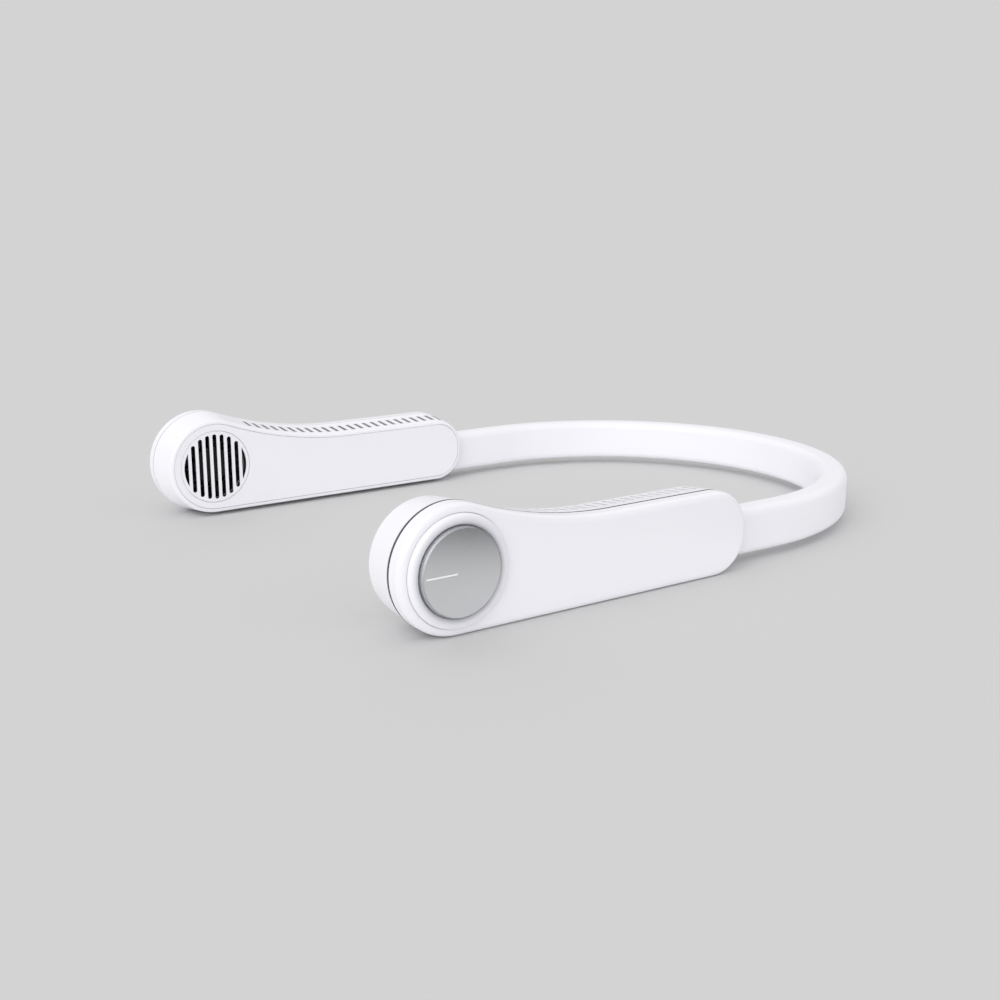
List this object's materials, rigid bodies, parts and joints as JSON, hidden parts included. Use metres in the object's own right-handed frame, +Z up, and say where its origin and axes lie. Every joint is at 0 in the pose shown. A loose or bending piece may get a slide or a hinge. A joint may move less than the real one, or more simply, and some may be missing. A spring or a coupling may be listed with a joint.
{
  "type": "neck fan",
  "caption": "Bladeless neck fan: teardrop blower arms with intake grilles and outlet slits, a speed dial, and a soft flexible band that runs behind the neck.",
  "frame": {"origin": "on the surface the fan rests on, under the middle of its box", "axes": "+X from the fan heads (front) to the back of the neck band, +Y towards the arm without a dial (the wearer's right), +Z up"},
  "size_m": [0.2354, 0.1856, 0.0374],
  "materials": {
    "white_shell": "glossy white moulded ABS",
    "white_grille": "glossy white moulded grille",
    "inner_plastic": "plain grey moulding inside the arm",
    "fan_black": "black moulded blower wheel",
    "battery_wrap": "silver pouch foil",
    "board_green": "green circuit board",
    "cable_black": "black cable jacket",
    "bare_steel": "bare steel",
    "bearing_bronze": "sintered bronze",
    "dial_grey": "satin grey metal disc",
    "pointer_white": "white inlaid line",
    "soft_white": "smooth white silicone"
  },
  "bodies": {
    "neck_band": {"band_rear_sleeve": "soft_white", "band_left_sleeve": "soft_white", "band_right_sleeve": "soft_white", "band_spring": "bare_steel", "band_cable": "cable_black"},
    "left_arm": {"left_arm_frame": "white_shell", "left_outer_shell": "white_shell", "left_inner_cover": "white_shell", "left_intake_grille": "white_grille", "left_chassis_plate": "inner_plastic", "left_fan_duct": "inner_plastic", "left_battery": "battery_wrap", "left_power_board": "board_green", "left_lead": "cable_black", "left_motor_stator": "bare_steel", "left_bearing": "bearing_bronze", "left_band_anchor": "inner_plastic", "left_screws": "bare_steel", "left_dial_collar": "white_shell", "control_board": "board_green", "encoder_body": "inner_plastic", "charge_socket": "bare_steel"},
    "right_arm": {"right_arm_frame": "white_shell", "right_outer_shell": "white_shell", "right_inner_cover": "white_shell", "right_intake_grille": "white_grille", "right_chassis_plate": "inner_plastic", "right_fan_duct": "inner_plastic", "right_battery": "battery_wrap", "right_power_board": "board_green", "right_lead": "cable_black", "right_motor_stator": "bare_steel", "right_bearing": "bearing_bronze", "right_band_anchor": "inner_plastic", "right_screws": "bare_steel", "right_dial_collar": "white_shell", "right_blank_cap": "dial_grey"},
    "dial": {"dial_knob": "dial_grey", "dial_pointer": "pointer_white", "encoder_rotor": "inner_plastic"},
    "left_fan": {"left_impeller": "fan_black", "left_rotor_ring": "bare_steel", "left_motor_shaft": "bare_steel"},
    "right_fan": {"right_impeller": "fan_black", "right_rotor_ring": "bare_steel", "right_motor_shaft": "bare_steel"}
  },
  "joints": [
    {"name": "left_arm_flex", "type": "hinge", "parent": "neck_band", "child": "left_arm", "pos_m": [0.05945, -0.0758, 0.0104], "axis": [0, 0, 1], "range_deg": [-6, 14], "stiffness_Nm_per_rad": 1.5, "deforming": ["band_left_sleeve", "band_spring", "band_cable"]},
    {"name": "right_arm_flex", "type": "hinge", "parent": "neck_band", "child": "right_arm", "pos_m": [0.05945, 0.0758, 0.0104], "axis": [0, 0, -1], "range_deg": [-6, 14], "stiffness_Nm_per_rad": 1.5, "deforming": ["band_right_sleeve", "band_spring", "band_cable"]},
    {"name": "dial_turn", "type": "hinge", "parent": "left_arm", "child": "dial", "pos_m": [-0.09905, -0.09065, 0.0187], "axis": [0, 1, 0], "range_deg": [0, 270]},
    {"name": "left_fan_spin", "type": "hinge", "parent": "left_arm", "child": "left_fan", "pos_m": [-0.09905, -0.07965, 0.0187], "axis": [0, 1, 0], "continuous": true},
    {"name": "right_fan_spin", "type": "hinge", "parent": "right_arm", "child": "right_fan", "pos_m": [-0.09905, 0.07965, 0.0187], "axis": [0, 1, 0], "continuous": true}
  ]
}
